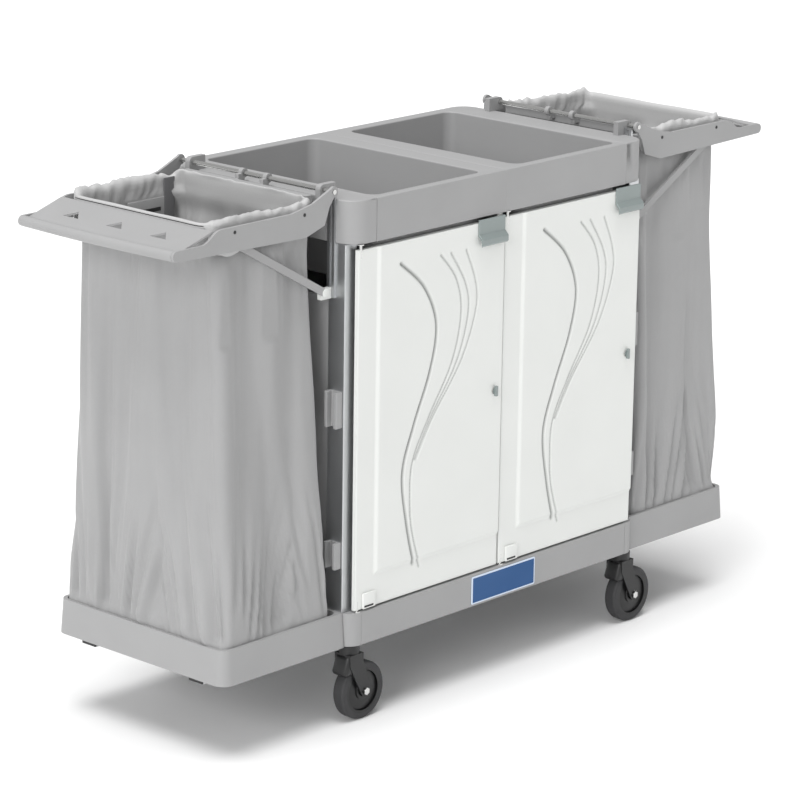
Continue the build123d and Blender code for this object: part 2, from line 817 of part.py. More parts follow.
def make_strut_guides():
    """Upright slotted strips on the posts and the deck's end, one for each strut."""
    z0 = strut_foot_z - guide_below
    z1 = strut_foot_z + slide_travel + guide_above
    slot_margin = tongue_height / 2 + slot_end_gap
    with BuildPart() as guides:
        for side in (-1, 1):
            x_low, x_high = sorted((side * module_half, side * (module_half + guide_thickness)))
            for y in front_and_back(post_inner_y, post_inner_y + guide_width):
                block((x_low, x_high), y, (z0, z1))
            for y in front_and_back(shoe_y1 - guide_slot, shoe_y1):
                block((x_low, x_high), y, (strut_foot_z - slot_margin,
                                           strut_foot_z + slide_travel + slot_margin), Mode.SUBTRACT)
    return guides.part


def make_shoes():
    """Two shoes that run in the guides at the feet of the struts."""
    face = module_half + guide_thickness + shoe_gap
    z = strut_foot_z
    with BuildPart() as shoes:
        for y in front_and_back(shoe_y1 - shoe_width, shoe_y1):
            block((face, strut_foot_x + shoe_past_pin), y, (z - shoe_below, z + shoe_above))
        for y in front_and_back(shoe_y1 - guide_slot + tongue_gap, shoe_y1 - tongue_gap):
            block((module_half + shoe_gap, face), y, (z - tongue_height / 2, z + tongue_height / 2))
    return shoes.part


def make_bag():
    """The open fabric bag: walls from the ring down into the tray, wider at the foot."""
    floor = tray_floor + bag_clearance
    mouth_start = rod_x + bag_inner_gap
    mouth = (mouth_start, mouth_start + bag_length)
    foot = (module_half + bag_foot_inset, recess_end - bag_foot_gap)
    foot_half = recess_half - bag_foot_gap
    with BuildPart() as bag:
        for inset, mode in ((0, Mode.ADD), (bag_wall, Mode.SUBTRACT)):
            for z, (x0, x1), half, corner in (
                    (floor + inset, foot, foot_half, bag_foot_corner),
                    (ring_bottom, mouth, bag_half_depth, bag_corner)):
                with BuildSketch(Plane.XY.offset(z)):
                    with Locations(((x0 + x1) / 2, 0)):
                        RectangleRounded(x1 - x0 - 2 * inset, 2 * (half - inset), corner - inset)
            loft(ruled=True, mode=mode)
    return bag.part


# ---------------------------------------------------------------------------- small trim
def make_label_plate():
    """A plain plate on the front skirt."""
    z = base_bottom + (base_height - label_height) / 2
    with BuildPart() as label:
        block((label_x - label_width / 2, label_x + label_width / 2),
              (-module_front - label_thickness, -module_front), (z, z + label_height))
        fillet(label.edges().filter_by(Axis.Y), label_corner)
    return label.part


def make_side_hooks():
    """Two holders on a front post for a broom or mop handle."""
    y = (hook_inset - post_front, hook_inset - post_front + hook_width)
    with BuildPart() as hooks:
        for low, height in ((upper_hook_z, upper_hook_height), (lower_hook_z, lower_hook_height)):
            z = (base_top + low, base_top + low + height)
            block((module_half, module_half + hook_reach), y, z)
            block((module_half + hook_back, module_half + hook_reach),
                  (y[0] + hook_wall, y[1] - hook_wall), z, Mode.SUBTRACT)
    return hooks.part


# ---------------------------------------------------------------------------- write everything
os.makedirs("parts", exist_ok=True)

write("base_frame", make_base_frame())
write("base_corners", make_base_corners())
write("tray_rails", make_tray_rails())
write("rail_caps", make_rail_caps())
write("corner_posts", make_posts())
write("centre_divider", make_divider())
write("door_pins", make_door_pins())
write("lock_strikers", make_strikers())
write("strut_guides", make_strut_guides())
write("castor_heads", make_castor_heads())
write("label_plate", make_label_plate())
write("back_panels", at_both_ends(make_back_panel()))
write("shelves", at_both_ends(make_shelf()))
write("hinge_rods", at_both_ends(make_hinge_rod()))
write("rod_clips", at_both_ends(make_rod_clips()))
write("side_hooks", at_both_ends(make_side_hooks()))

write_pair("tray", make_tray())
write_pair("side_panel", make_side_panel())
write_pair("deck", make_deck())
write_pair("deck_end", make_deck_end())
write_pair("frame_arms", make_frame_arms())
write_pair("push_bar", make_push_bar())
write_pair("cross_plate", make_cross_plate())
write_pair("bag_ring", make_bag_ring())
write_pair("inner_beam", make_inner_beam())
write_pair("struts", make_struts())
write_pair("strut_shoes", make_shoes())
write_pair("bag", make_bag())

for bay, side_name in enumerate(("left", "right")):
    write(f"door_{side_name}", make_door(bay))
    write(f"door_handle_{side_name}", make_handle(bay))
    write(f"lock_barrel_{side_name}", make_lock_barrel(bay))
    write(f"lock_knob_{side_name}", make_lock_knob(bay))

castor_names = ("front_left", "back_left", "front_right", "back_right")
for corner, (castor_x, castor_y) in zip(castor_names, castor_places()):
    write(f"castor_fork_{corner}", make_castor_fork(castor_x, castor_y))
    write(f"castor_tyre_{corner}", make_tyre(castor_x, castor_y))
    write(f"castor_hub_{corner}", make_hub(castor_x, castor_y))
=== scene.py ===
import json
import math

import bmesh
import bpy
from mathutils import Matrix, Vector, kdtree, noise


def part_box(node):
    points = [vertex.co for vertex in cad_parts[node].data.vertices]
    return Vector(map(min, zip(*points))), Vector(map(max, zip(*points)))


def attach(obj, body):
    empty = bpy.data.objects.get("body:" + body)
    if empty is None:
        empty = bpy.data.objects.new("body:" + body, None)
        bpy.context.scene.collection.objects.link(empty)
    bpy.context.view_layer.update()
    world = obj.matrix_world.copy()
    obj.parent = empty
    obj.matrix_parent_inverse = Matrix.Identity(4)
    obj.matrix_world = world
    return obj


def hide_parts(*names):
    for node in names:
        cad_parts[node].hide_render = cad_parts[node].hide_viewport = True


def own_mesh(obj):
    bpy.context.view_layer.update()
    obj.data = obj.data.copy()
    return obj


# The looks of a housekeeping cart: moulded plastic body and frames, carved white doors, two cloth
# bags gathered over their rings, and black castors. Metres, +Z up, X along the cart, doors face -Y.

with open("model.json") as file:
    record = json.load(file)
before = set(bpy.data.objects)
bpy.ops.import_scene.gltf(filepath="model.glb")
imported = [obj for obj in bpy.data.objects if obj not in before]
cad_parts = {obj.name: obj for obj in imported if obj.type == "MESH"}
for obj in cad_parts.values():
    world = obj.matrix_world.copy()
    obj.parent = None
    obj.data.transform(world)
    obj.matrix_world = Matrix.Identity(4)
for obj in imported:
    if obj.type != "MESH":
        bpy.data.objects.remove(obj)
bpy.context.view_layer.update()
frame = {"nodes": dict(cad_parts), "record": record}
scene = bpy.context.scene
SIDES = (("left", -1), ("right", 1))
CORNERS = ("front_left", "back_left", "front_right", "back_right")


# ------------------------------------------------------------------ shader groups
def link(tree, source, target):
    tree.links.new(source, target)


def start_group(name, inputs, outputs):
    """A shader node group with its sockets, and the two nodes that stand for them inside."""
    group = bpy.data.node_groups.new(name, "ShaderNodeTree")
    for label, kind, value in inputs:
        socket = group.interface.new_socket(label, in_out="INPUT", socket_type=kind)
        socket.default_value = value
    for label, kind in outputs:
        group.interface.new_socket(label, in_out="OUTPUT", socket_type=kind)
    return group, group.nodes.new("NodeGroupInput"), group.nodes.new("NodeGroupOutput")


def math_node(tree, operation, first, second=None):
    """A maths node; each value may be a number or another node's output."""
    node = tree.nodes.new("ShaderNodeMath")
    node.operation = operation
    for index, value in enumerate((first, second)):
        if value is None:
            continue
        if isinstance(value, (int, float)):
            node.inputs[index].default_value = value
        else:
            link(tree, value, node.inputs[index])
    return node.outputs[0]


def noise_node(tree, coordinates, scale, detail=2.0):
    """Soft noise on the given coordinates; scale may be a number or a socket."""
    node = tree.nodes.new("ShaderNodeTexNoise")
    node.inputs["Detail"].default_value = detail
    link(tree, coordinates, node.inputs["Vector"])
    if isinstance(scale, (int, float)):
        node.inputs["Scale"].default_value = scale
    else:
        link(tree, scale, node.inputs["Scale"])
    return node.outputs["Fac"]


def mix_colours(tree, share, first, second):
    node = tree.nodes.new("ShaderNodeMix")
    node.data_type = "RGBA"
    for value, socket in ((share, node.inputs["Factor"]), (first, node.inputs["A"]),
                          (second, node.inputs["B"])):
        link(tree, value, socket)
    return node.outputs["Result"]


def colour_input(label):
    return (label, "NodeSocketColor", (0.5, 0.5, 0.5, 1.0))


def build_moulded_group():
    """Moulded or drawn surfaces: slow change of tone, fine grain and uneven gloss."""
    group, given, result = start_group(
        "uneven surface",
        [colour_input("Colour"), colour_input("Shade"), ("Mottle Scale", "NodeSocketFloat", 9.0),
         ("Grain Scale", "NodeSocketFloat", 900.0), ("Roughness", "NodeSocketFloat", 0.5),
         ("Stretch", "NodeSocketVector", (1.0, 1.0, 1.0))],
        [("Colour", "NodeSocketColor"), ("Roughness", "NodeSocketFloat"),
         ("Height", "NodeSocketFloat")])
    place = group.nodes.new("ShaderNodeTexCoord").outputs["Object"]
    stretched = group.nodes.new("ShaderNodeVectorMath")
    stretched.operation = "MULTIPLY"
    link(group, place, stretched.inputs[0])
    link(group, given.outputs["Stretch"], stretched.inputs[1])
    mottle = noise_node(group, place, given.outputs["Mottle Scale"], 4.0)
    grain = noise_node(group, stretched.outputs[0], given.outputs["Grain Scale"])
    tone = mix_colours(group, mottle, given.outputs["Colour"], given.outputs["Shade"])
    uneven = math_node(group, "MULTIPLY", math_node(group, "SUBTRACT", mottle, 0.5), 0.25)
    link(group, tone, result.inputs["Colour"])
    link(group, math_node(group, "ADD", given.outputs["Roughness"], uneven),
         result.inputs["Roughness"])
    link(group, grain, result.inputs["Height"])
    return group


def build_weave_group():
    """Plain woven cloth: crossed threads, slubs along them and soft fading."""
    group, given, result = start_group(
        "plain weave",
        [colour_input("Colour"), colour_input("Shade"), ("Threads", "NodeSocketFloat", 4200.0),
         ("Roughness", "NodeSocketFloat", 0.8)],
        [("Colour", "NodeSocketColor"), ("Roughness", "NodeSocketFloat"),
         ("Height", "NodeSocketFloat")])
    place = group.nodes.new("ShaderNodeTexCoord").outputs["Object"]
    axes = group.nodes.new("ShaderNodeSeparateXYZ")
    link(group, place, axes.inputs[0])
    around = math_node(group, "ADD", axes.outputs["X"], axes.outputs["Y"])
    threads = given.outputs["Threads"]
    weft = math_node(group, "SINE", math_node(group, "MULTIPLY", around, threads))
    warp = math_node(group, "SINE", math_node(group, "MULTIPLY", axes.outputs["Z"], threads))
    crossing = math_node(group, "MULTIPLY", weft, warp)
    fading = noise_node(group, place, 7.0, 3.0)
    slubs = noise_node(group, place, 420.0, 3.0)
    share = math_node(group, "MULTIPLY", math_node(group, "ADD", fading, slubs), 0.5)
    link(group, mix_colours(group, share, given.outputs["Colour"], given.outputs["Shade"]),
         result.inputs["Colour"])
    link(group, math_node(group, "ADD", given.outputs["Roughness"],
                          math_node(group, "MULTIPLY", crossing, 0.05)), result.inputs["Roughness"])
    link(group, math_node(group, "ADD", math_node(group, "MULTIPLY", crossing, 0.5), slubs),
         result.inputs["Height"])
    return group


UNEVEN = build_moulded_group()
WEAVE = build_weave_group()


# ------------------------------------------------------------------ materials
def surface_material(name, group, values, bump, **constants):
    """A Principled material whose colour, gloss and grain come from one shared group."""
    material = bpy.data.materials.new(name)
    material.use_nodes = True
    tree = material.node_tree
    shader = tree.nodes["Principled BSDF"]
    surface = tree.nodes.new("ShaderNodeGroup")
    surface.node_tree = group
    for label, value in values.items():
        surface.inputs[label].default_value = value
    raised = tree.nodes.new("ShaderNodeBump")
    raised.inputs["Strength"].default_value = 1.0
    raised.inputs["Distance"].default_value = bump
    link(tree, surface.outputs["Height"], raised.inputs["Height"])
    link(tree, surface.outputs["Colour"], shader.inputs["Base Color"])
    link(tree, surface.outputs["Roughness"], shader.inputs["Roughness"])
    link(tree, raised.outputs["Normal"], shader.inputs["Normal"])
    for label, value in constants.items():
        shader.inputs[label.replace("_", " ")].default_value = value
    return material


def two_tones(light, share=0.92):
    """A colour and a slightly darker one of the same hue."""
    return {"Colour": (*light, 1.0), "Shade": (*(channel * share for channel in light), 1.0)}


WHITE_VALUES = {**two_tones((0.755, 0.768, 0.748), 0.96), "Roughness": 0.42}
WHITE_BUMP = 0.00005
# Painted shade: the dark grey that the doors' carved grooves are mixed towards.
GROOVE_PAINTED_SHADE = (0.20, 0.21, 0.205, 1.0)
LABEL_BORDER = 0.0035
LABEL_BORDER_COLOUR = (0.62, 0.70, 0.82, 1.0)


def grey_plastic():
    return surface_material("grey moulded plastic", UNEVEN,
                            {**two_tones((0.345, 0.345, 0.347)), "Roughness": 0.48}, bump=0.00008)


def white_plastic():
    return surface_material("white moulded plastic", UNEVEN, WHITE_VALUES, WHITE_BUMP)


def door_plastic():
    """White moulded plastic, greyer in the carved grooves, where shade is painted in."""
    material = surface_material("white door plastic", UNEVEN, WHITE_VALUES, WHITE_BUMP)
    tree = material.node_tree
    shader = tree.nodes["Principled BSDF"]
    white = shader.inputs["Base Color"].links[0].from_socket
    depth = tree.nodes.new("ShaderNodeAttribute")
    depth.attribute_name = "carved"
    painted_shade = tree.nodes.new("ShaderNodeRGB")
    painted_shade.outputs[0].default_value = GROOVE_PAINTED_SHADE
    # Painted shade, darker where the carving is deeper.
    share = math_node(tree, "MULTIPLY", depth.outputs["Fac"], 0.8)
    link(tree, mix_colours(tree, share, white, painted_shade.outputs[0]), shader.inputs["Base Color"])
    return material


def clip_plastic():
    return surface_material("grey green smooth plastic", UNEVEN,
                            {**two_tones((0.24, 0.28, 0.275), 0.9), "Grain Scale": 300.0,
                             "Roughness": 0.25}, bump=0.00002, Coat_Weight=0.4)


def black_nylon():
    return surface_material("black nylon", UNEVEN,
                            {**two_tones((0.010, 0.010, 0.0105), 0.7), "Roughness": 0.38},
                            bump=0.00008)


def tyre_rubber():
    return surface_material("dark grey tyre rubber", UNEVEN,
                            {**two_tones((0.038, 0.038, 0.040), 0.75), "Mottle Scale": 30.0,
                             "Roughness": 0.62}, bump=0.00015)


def drawn_metal(name, light, roughness, stretch):
    return surface_material(name, UNEVEN,
                            {**two_tones(light, 0.88), "Grain Scale": 1500.0,
                             "Roughness": roughness, "Stretch": stretch}, bump=0.00003,
                            Metallic=1.0)


def bag_cloth():
    return surface_material("grey bag cloth", WEAVE,
                            two_tones((0.375, 0.375, 0.377), 0.80), bump=0.00012,
                            Sheen_Weight=0.25, Sheen_Roughness=0.5)


def bag_lining():
    return surface_material("pale coated lining", WEAVE,
                            {**two_tones((0.52, 0.52, 0.52), 0.76), "Roughness": 0.6}, bump=0.0001,
                            Sheen_Weight=0.15, Sheen_Roughness=0.5)


def strap_cloth():
    return surface_material("dark grey webbing", WEAVE,
                            {**two_tones((0.16, 0.16, 0.165), 0.8), "Threads": 2600.0},
                            bump=0.0002)


def label_print():
    """A blue plate with a pale border that follows the plate's outline."""
    low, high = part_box("label_plate")
    middle, half = (low + high) / 2, (high - low) / 2
    material = surface_material("plain blue label", UNEVEN,
                                {**two_tones((0.001, 0.072, 0.24), 0.9), "Roughness": 0.5},
                                bump=0.00001)
    tree = material.node_tree
    shader = tree.nodes["Principled BSDF"]
    blue = shader.inputs["Base Color"].links[0].from_socket
    axes = tree.nodes.new("ShaderNodeSeparateXYZ")
    link(tree, tree.nodes.new("ShaderNodeTexCoord").outputs["Object"], axes.inputs[0])
    edges = []
    for axis, label in ((0, "X"), (2, "Z")):
        distance = math_node(tree, "ABSOLUTE",
                             math_node(tree, "SUBTRACT", axes.outputs[label], middle[axis]))
        edges.append(math_node(tree, "GREATER_THAN", distance, half[axis] - LABEL_BORDER))
    pale = tree.nodes.new("ShaderNodeRGB")
    pale.outputs[0].default_value = LABEL_BORDER_COLOUR
    near_edge = math_node(tree, "MAXIMUM", edges[0], edges[1])
    link(tree, mix_colours(tree, near_edge, blue, pale.outputs[0]), shader.inputs["Base Color"])
    return material


GREY = grey_plastic()
WHITE = white_plastic()
DOOR = door_plastic()
CLIP = clip_plastic()
BLACK = black_nylon()
RUBBER = tyre_rubber()
ALUMINIUM = drawn_metal("satin aluminium", (0.60, 0.61, 0.62), 0.36, (1.0, 1.0, 0.04))
STEEL = drawn_metal("plated steel", (0.66, 0.66, 0.65), 0.26, (1.0, 0.06, 1.0))
CLOTH = bag_cloth()
LINING = bag_lining()
WEBBING = strap_cloth()
LABEL = label_print()

SLOT_MATERIALS = {
    "grey_plastic": GREY, "white_plastic": WHITE, "clip_plastic": CLIP, "black_plastic": BLACK,
    "post_aluminium": ALUMINIUM, "plated_steel": STEEL, "tyre_rubber": RUBBER,
    "label_plate": LABEL, "bag_fabric": CLOTH,
}
SLOT_OF = {row["node"]: row["material_slot"] for row in frame["record"]["subparts"]}
BODY_OF = {node: body for body, nodes in frame["record"]["behaviour"]["bodies"].items()
           for node in nodes}


def paint_cad_nodes():
    """Each CAD node takes its slot's material, but the castors' steel necks are painted black."""
    for node, piece in frame["nodes"].items():
        material = BLACK if node == "castor_heads" else SLOT_MATERIALS[SLOT_OF[node]]
        piece.data.materials.clear()
        piece.data.materials.append(material)


# ------------------------------------------------------------------ making pieces
WELD_DISTANCE = 0.00002
FLAT_ANGLE = math.radians(1.0)
ROUNDED_ABOVE = math.radians(40)


def make_piece(name, bm, body, material, crease=35.0):
    """Turns a bmesh into a shown piece on a body, smooth except at its sharper edges."""
    bmesh.ops.recalc_face_normals(bm, faces=bm.faces)
    mesh = bpy.data.meshes.new(name)
    bm.to_mesh(mesh)
    bm.free()
    mesh.shade_smooth()
    mesh.set_sharp_from_angle(angle=math.radians(crease))
    mesh.materials.append(material)
    piece = bpy.data.objects.new(name, mesh)
    scene.collection.objects.link(piece)
    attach(piece, body)
    return piece


def add_block(bm, low, high, radius, segments=3):
    """A box between two corners with all its edges rounded."""
    low, high = Vector(low), Vector(high)
    made = bmesh.ops.create_cube(bm, size=1.0)["verts"]
    bmesh.ops.scale(bm, vec=high - low, verts=made)
    bmesh.ops.translate(bm, vec=(low + high) / 2, verts=made)
    edges = {edge for vert in made for edge in vert.link_edges}
    bmesh.ops.bevel(bm, geom=list(edges), offset=radius, offset_type="OFFSET", affect="EDGES",
                    segments=segments, profile=0.5, material=-1, clamp_overlap=True)


def add_disc(bm, centre, radius, depth, round_edge, sides=36):
    """A short round or many-sided bar along Y with rounded rims."""
    turn = Matrix.Rotation(math.radians(90), 4, "X")
    made = bmesh.ops.create_cone(bm, cap_ends=True, segments=sides, radius1=radius,
                                 radius2=radius, depth=depth,
                                 matrix=Matrix.Translation(centre) @ turn)["verts"]
    rims = {edge for vert in made for edge in vert.link_edges
            if abs(edge.verts[0].co.y - edge.verts[1].co.y) < depth / 2}
    bmesh.ops.bevel(bm, geom=list(rims), offset=round_edge, offset_type="OFFSET", affect="EDGES",
                    segments=2, profile=0.5, material=-1, clamp_overlap=True)


def soften(node, radius):
    """Shows a copy of a CAD node with its sharp edges rounded, in the node's own place."""
    mesh = frame["nodes"][node].data.copy()
    bm = bmesh.new()
    bm.from_mesh(mesh)
    bpy.data.meshes.remove(mesh)
    bmesh.ops.remove_doubles(bm, verts=bm.verts, dist=WELD_DISTANCE)
    bmesh.ops.dissolve_limit(bm, angle_limit=FLAT_ANGLE, verts=bm.verts, edges=bm.edges)
    piece = make_piece(f"{node}_moulding", bm, BODY_OF[node], SLOT_MATERIALS[SLOT_OF[node]])
    rounding = piece.modifiers.new("rounded edges", "BEVEL")
    rounding.width = radius
    rounding.segments = 2
    rounding.limit_method = "ANGLE"
    rounding.angle_limit = ROUNDED_ABOVE
    rounding.harden_normals = True
    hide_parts(node)


# ------------------------------------------------------------------ doors
def smooth_step(share):
    share = max(0.0, min(1.0, share))
    return share * share * (3.0 - 2.0 * share)


def curve_through(points, steps=24):
    """A smooth line through a few points, as closely spaced points."""
    padded = [points[0], *points, points[-1]]
    line = []
    for a, b, c, d in zip(padded, padded[1:], padded[2:], padded[3:]):
        for index in range(steps):
            t = index / steps
            line.append(tuple(0.5 * (2 * q + (r - p) * t + (2 * p - 5 * q + 4 * r - s) * t**2
                                     + (3 * q - p - 3 * r + s) * t**3)
                              for p, q, r, s in zip(a, b, c, d)))
    return line


# Each groove: its width, its depth, and points right of and above the door's lower hinge corner.
DOOR_GROOVES = (
    (0.0062, 0.0058, ((0.122, 0.715), (0.194, 0.654), (0.232, 0.571), (0.216, 0.476),
                      (0.167, 0.364), (0.135, 0.267), (0.150, 0.156), (0.174, 0.063))),
    (0.0040, 0.0034, ((0.243, 0.713), (0.292, 0.655), (0.308, 0.580), (0.282, 0.480),
                      (0.213, 0.374), (0.166, 0.290), (0.159, 0.215), (0.166, 0.140),
                      (0.194, 0.052))),
    (0.0040, 0.0032, ((0.274, 0.713), (0.321, 0.640), (0.330, 0.575), (0.296, 0.477),
                      (0.219, 0.372), (0.170, 0.290))),
    (0.0040, 0.0030, ((0.321, 0.712), (0.352, 0.640), (0.354, 0.580), (0.312, 0.480),
                      (0.226, 0.372), (0.174, 0.290))),
)


def groove_trees():
    """For each groove, a search tree of its line and how wide and deep it is."""
    trees = []
    for width, depth, points in DOOR_GROOVES:
        line = curve_through(points)
        tree = kdtree.KDTree(len(line))
        for index, (x, z) in enumerate(line):
            tree.insert((x, 0.0, z), index)
        tree.balance()
        trees.append((tree, width, depth))
    return trees


def build_door(side, trees):
    """A slab whose front has a raised field and flowing grooves, carved by moving its points."""
    node = f"door_{side}"
    low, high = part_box(node)
    size = high - low
    field_left, field_bottom = 0.052, 0.066
    slope, raised, edge_round = 0.011, 0.0042, 0.0022
    across, up = 200, 345
    bm = bmesh.new()
    carved = bm.verts.layers.float.new("carved")
    flat = Matrix.Translation(((low.x + high.x) / 2, low.y, (low.z + high.z) / 2))
    turn = Matrix.Rotation(math.radians(90), 4, "X")
    spread = Matrix.Diagonal((size.x, size.z, 1.0, 1.0))
    bmesh.ops.create_grid(bm, x_segments=across, y_segments=up, size=0.5,
                          matrix=flat @ turn @ spread)
    front = list(bm.verts)
    for vert in front:
        x, z = vert.co.x - low.x, vert.co.z - low.z
        into_field = min((x - field_left) / slope, (z - field_bottom) / slope)
        sink = raised * (1.0 - smooth_step(into_field))
        for tree, width, depth in trees:
            distance = tree.find((x, 0.0, z))[2]
            share = 1.0 - smooth_step(distance / width)
            sink += depth * share
            # How deep the carving is here, as a share of the deepest groove; it sets the painted
            # shade in the door's material.
            vert[carved] = max(vert[carved], share * depth / DOOR_GROOVES[0][1])
        rim = min(x, z, size.x - x, size.z - z)
        sink += edge_round * (1.0 - smooth_step(rim / edge_round)) / 2
        vert.co.y = low.y + min(sink, size.y / 2)
    border = [edge for edge in bm.edges if edge.is_boundary]
    walls = bmesh.ops.extrude_edge_only(bm, edges=border)["geom"]
    back = [item for item in walls if isinstance(item, bmesh.types.BMVert)]
    for vert in back:
        vert.co.y = high.y
    rim_edges = [edge for edge in bm.edges if edge.is_boundary]
    bmesh.ops.contextual_create(bm, geom=rim_edges)
    door = make_piece(f"{node}_panel", bm, f"door_{side}", DOOR, crease=50.0)
    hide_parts(node)
    add_pivot_cover(side, low)


def add_pivot_cover(side, low):
    """A small cover with a dark slot at the door's lower hinge corner."""
    pieces = (
        ("cover", WHITE, "white_plastic", (0.019, -0.0015, 0.001), (0.056, 0.004, 0.034), 0.0012),
        ("slot", BLACK, "black_plastic", (0.022, -0.0022, 0.004), (0.049, -0.001, 0.008), 0.0004),
    )
    for label, material, slot, near, far, radius in pieces:
        bm = bmesh.new()
        add_block(bm, *([start + offset for start, offset in zip(low, offsets)]
                        for offsets in (near, far)), radius)
        make_piece(f"door_{side}_pivot_{label}", bm, f"door_{side}", material)


# ------------------------------------------------------------------ bags
BAG_AROUND = 260
WALL_ROWS = 96
CLOTH_THICKNESS = 0.0012
HEM_CORNER, TOP_CORNER, FOOT_CORNER = 0.036, 0.030, 0.016

# How far the cloth may stand out: past the ring, which keeps it clear of the arms, and from the
# cart's middle line at the height of the struts, which starts a little below their feet.
SIDE_REACH = 0.0048
STRUT_REACH = 0.2055
STRUT_FOOT = 0.850

# Where the wall hangs: how far below the ring's top it starts, how far inside it is tucked there,
# how far inside the ring its straight lines to the foot begin, how far the cloth stays in from
# those lines, and its gap over the tray.
WALL_START = 0.026
INNER_TUCK, OUTER_TUCK, SIDE_TUCK = 0.0155, 0.002, 0.0150
OUTER_INSET, SIDE_INSET = 0.013, 0.006
WALL_INSET, FOOT_GAP = 0.0015, 0.0015

# Depths of the long folds, the fine creases and the slanting folds near the foot, and how far the
# whole wall sinks to make room for them.
LONG_FOLD, FINE_CREASE, FOOT_FOLD, WALL_SINK = 0.0145, 0.0036, 0.0085, 0.004
CORNER_SHIFT = 0.08     # where the corners' folds are centred, in quarters of the way round

# The bottom is closed by rows drawn in towards the middle of the foot by these shares.
BOTTOM_SHARES = (0.04, 0.3, 0.65, 0.95)

# The hem from its free edge, over the ring and down inside it. Each row gives how far it stands
# out from the ring's outer face and how high above the ring's top: at the sides of the ring, where
# it is tucked along the end plate, and where it leans on the inner beam.
HEM_ROWS = (
    ((0.0048, -0.040), (-0.0015, 0.0018), (-0.0150, 0.0085)),
    ((0.0048, -0.030), (-0.0015, 0.0024), (-0.0146, 0.0110)),
    ((0.0044, -0.020), (-0.0018, 0.0032), (-0.0142, 0.0135)),
    ((0.0042, -0.010), (-0.0024, 0.0042), (-0.0140, 0.0155)),
    ((0.0038, 0.000), (-0.0036, 0.0054), (-0.0146, 0.0172)),
    ((0.0016, 0.005), (-0.0056, 0.0060), (-0.0154, 0.0176)),
    ((-0.0030, 0.007), (-0.0080, 0.0056), (-0.0162, 0.0168)),
    ((-0.0080, 0.007), (-0.0105, 0.0044), (-0.0166, 0.0140)),
    ((-0.0130, 0.004), (-0.0132, 0.0024), (-0.0168, 0.0080)),
    ((-0.0152, -0.002), (-0.0150, -0.0020), (-0.0168, 0.0010)),
    ((-0.0158, -0.010), (-0.0156, -0.0100), (-0.0166, -0.0080)),
    ((-0.0156, -0.018), (-0.0156, -0.0180), (-0.0162, -0.0170)),
)
# The first rows hang free outside the ring, and from the next number on they are inside it.
HANGING_ROWS = 4
FIRST_INSIDE_ROW = 6
MIDDLE_ROW, HALF_ROWS = (len(HEM_ROWS) - 1) / 2, len(HEM_ROWS) / 2


def blend_numbers(share, first, second):
    return first + (second - first) * share


def rounded_loop(x_range, half_y, corner):
    """Points round a rectangle with round corners, with each point's outward direction."""
    middle, half_x = sum(x_range) / 2, (x_range[1] - x_range[0]) / 2
    runs = (2 * (half_x - corner), 2 * (half_y - corner)) * 2
    arc = corner * math.pi / 2
    total = sum(runs) + 4 * arc
    loop = []
    for index in range(BAG_AROUND):
        left = total * index / BAG_AROUND
        for quarter, (cx, cy) in enumerate(((1, 1), (-1, 1), (-1, -1), (1, -1))):
            centre = Vector((middle + cx * (half_x - corner), cy * (half_y - corner), 0.0))
            start = quarter * math.pi / 2
            turn = start + min(left, arc) / corner
            out = Vector((math.cos(turn), math.sin(turn), 0.0))
            if left <= arc + runs[quarter]:
                onward = Vector((-math.sin(turn), math.cos(turn), 0.0)) * max(0.0, left - arc)
                loop.append((centre + out * corner + onward, out))
                break
            left -= arc + runs[quarter]
        else:
            loop.append(loop[0])
    return loop


def wrinkle(along, across, seed):
    """Soft noise from -1 to 1 with rather sharp ridges, for creases in cloth."""
    value = noise.noise(Vector((along, across, seed)))
    return math.copysign(min(1.0, abs(value) * 1.7) ** 0.8, value)


def wall_fold(index, down, seed):
    """How far the hanging wall stands out; down is 0 at its top and 1 at its foot."""
    quarter = index / BAG_AROUND * 4.0
    corner = round(quarter - CORNER_SHIFT)
    from_corner = (quarter - CORNER_SHIFT - corner) * 2.0
    mid_wall = smooth_step(abs(from_corner) * 1.2)
    ripple = noise.noise(Vector((quarter * 3.0, down * 2.0, seed + 9.0))) * 0.16
    fan = from_corner * (1.0 + 1.5 * down * down) * 3.2 + corner * 17.0 + ripple
    long_fold = blend_numbers(mid_wall, wrinkle(fan, down * 0.9, seed),
                              wrinkle(quarter * 5.0 + ripple * 2.0, down * 1.1, seed + 4.0))
    fine = wrinkle(quarter * 15.0 + ripple * 6.0 + down * 1.4, down * 3.0, seed + 2.0)
    slant = wrinkle(fan * 1.9 + down * 3.4, down * 2.2, seed + 6.0)
    ends = smooth_step(down / 0.10) * smooth_step((1.0 - down) / 0.045)
    near_top = 1.0 - smooth_step(down / 0.30)
    near_foot = smooth_step((down - 0.55) / 0.35)
    return ends * (LONG_FOLD * long_fold + FINE_CREASE * fine * (0.4 + near_top)
                   + FOOT_FOLD * slant * near_foot - WALL_SINK)


